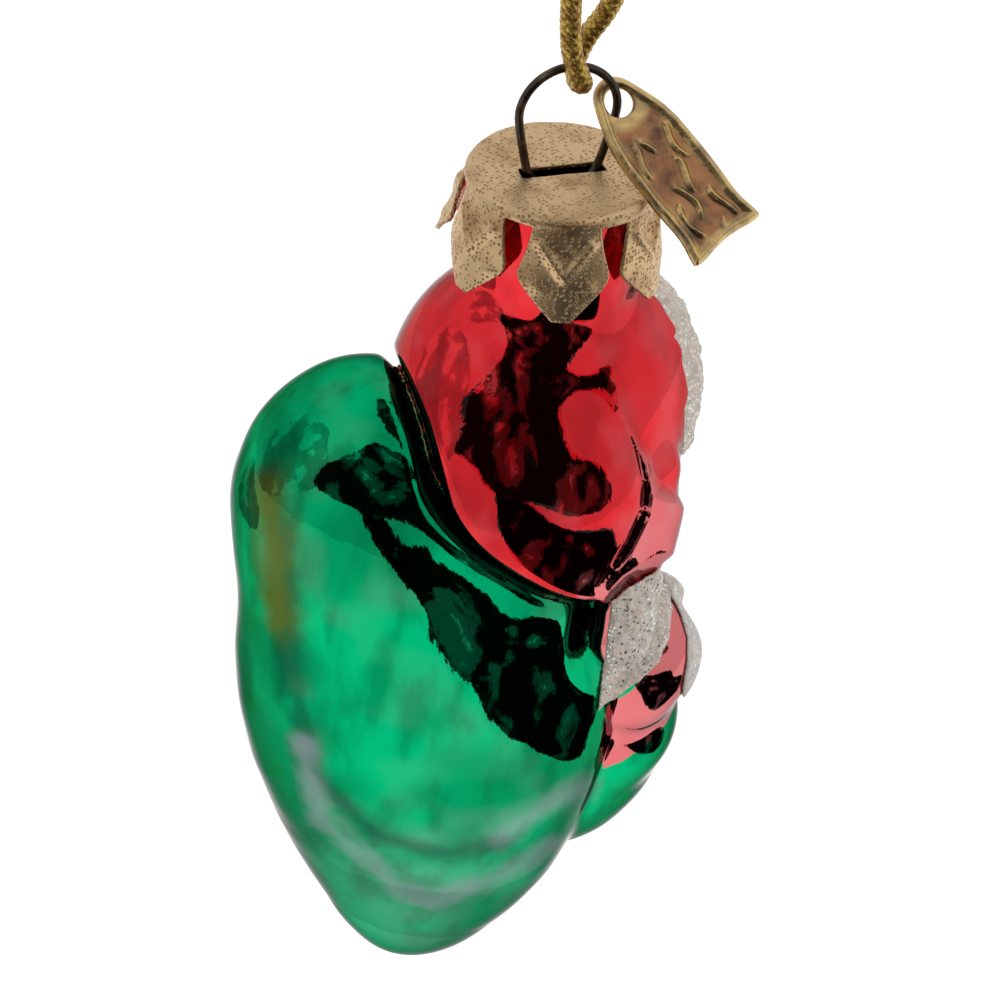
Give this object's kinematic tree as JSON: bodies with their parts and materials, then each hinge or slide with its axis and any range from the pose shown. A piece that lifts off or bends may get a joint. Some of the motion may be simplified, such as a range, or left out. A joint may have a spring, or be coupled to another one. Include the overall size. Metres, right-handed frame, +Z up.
{
  "type": "glass santa ornament",
  "caption": "Hollow blown-glass hooded gift-bringer with a sack, hung by a crown cap, a spring wire ring and a braided cord loop, with a small cast tag.",
  "frame": {"origin": "the top of the cord loop, under its knot, where the ornament is hung up", "axes": "+Z up along the cap's axis; the figure faces -Y"},
  "size_m": [0.0347, 0.0413, 0.1352],
  "materials": {
    "lacquered_glass": "silvered inside, transparent green and red lacquer outside, mirror gloss",
    "red_glass": "silvered inside, transparent red lacquer outside, mirror gloss",
    "glitter": "white glue coat with fine silver glitter",
    "cap_brass": "thin stamped sheet, stippled, satin",
    "hanger_steel": "dark bronzed spring wire",
    "tag_brass": "antique gold casting, dark in the hollows",
    "braid": "metallic gold and brown braid"
  },
  "bodies": {
    "cord": {"cord_loop": "braid", "cord_knot": "braid"},
    "cap": {"crown_cap": "cap_brass", "hanger_wire": "hanger_steel"},
    "tag": {"tag": "tag_brass"},
    "glass": {"glass_neck": "red_glass", "glass_figure": "lacquered_glass", "hood_fur": "glitter", "cape_fur": "glitter", "beard": "glitter"}
  },
  "joints": [
    {"name": "ring_swing", "type": "hinge", "parent": "cord", "child": "cap", "pos_m": [0, 0, -0.0323], "axis": [0.8746, -0.4848, 0], "range_deg": [-20, 20]},
    {"name": "tag_swing", "type": "hinge", "parent": "cap", "child": "tag", "pos_m": [-0.00196, -0.00391, -0.03215], "axis": [-0.6184, 0.3428, 0.7071], "range_deg": [0, 70]},
    {"name": "glass_pull_off", "type": "slide", "parent": "cap", "child": "glass", "axis": [0, 0, -1], "range_m": [0, 0.012]}
  ]
}
